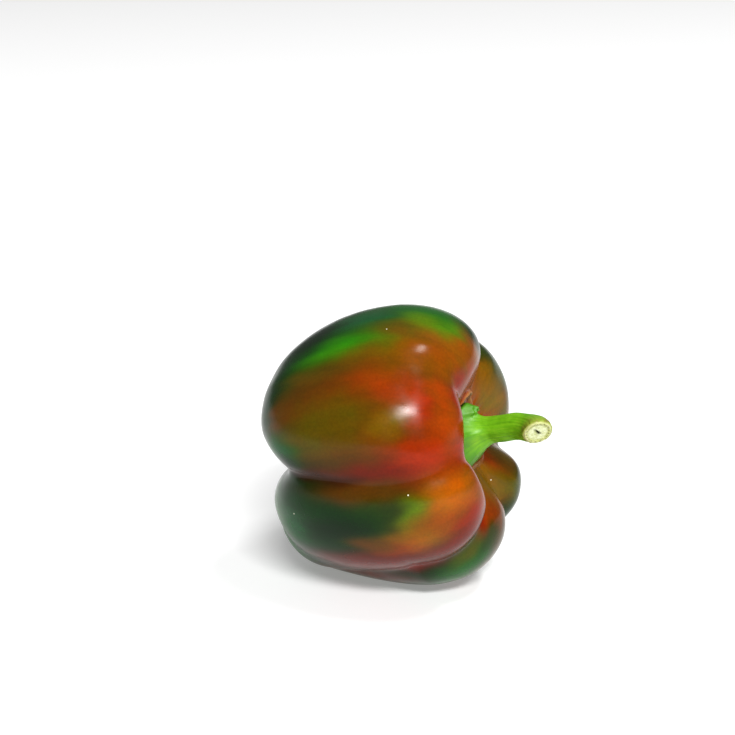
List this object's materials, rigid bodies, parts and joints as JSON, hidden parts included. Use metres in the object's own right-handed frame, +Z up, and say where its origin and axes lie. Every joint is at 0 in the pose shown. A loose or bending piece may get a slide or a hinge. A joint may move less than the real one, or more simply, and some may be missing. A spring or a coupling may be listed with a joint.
{
  "type": "bell pepper",
  "caption": "A ripening bell pepper lying on its side, a blocky lobed pod turning from green to orange and red, with a scalloped calyx and a short curved green stem with a cut end.",
  "frame": {"origin": "On the surface the pepper rests on, under the middle of its bounding box, in metres.", "axes": "+Z is up. +X is the way the stem points, with its end a little raised. -Y is the side that the stem's cut end bends towards."},
  "size_m": [0.0844, 0.0774, 0.0811],
  "materials": {
    "pod_skin": "waxy gloss skin, mottled from dark green through olive to orange and red",
    "stem_green": "satin light green with a cream cut end"
  },
  "bodies": {
    "root": {"pod": "pod_skin", "stem_with_calyx": "stem_green"}
  },
  "joints": []
}
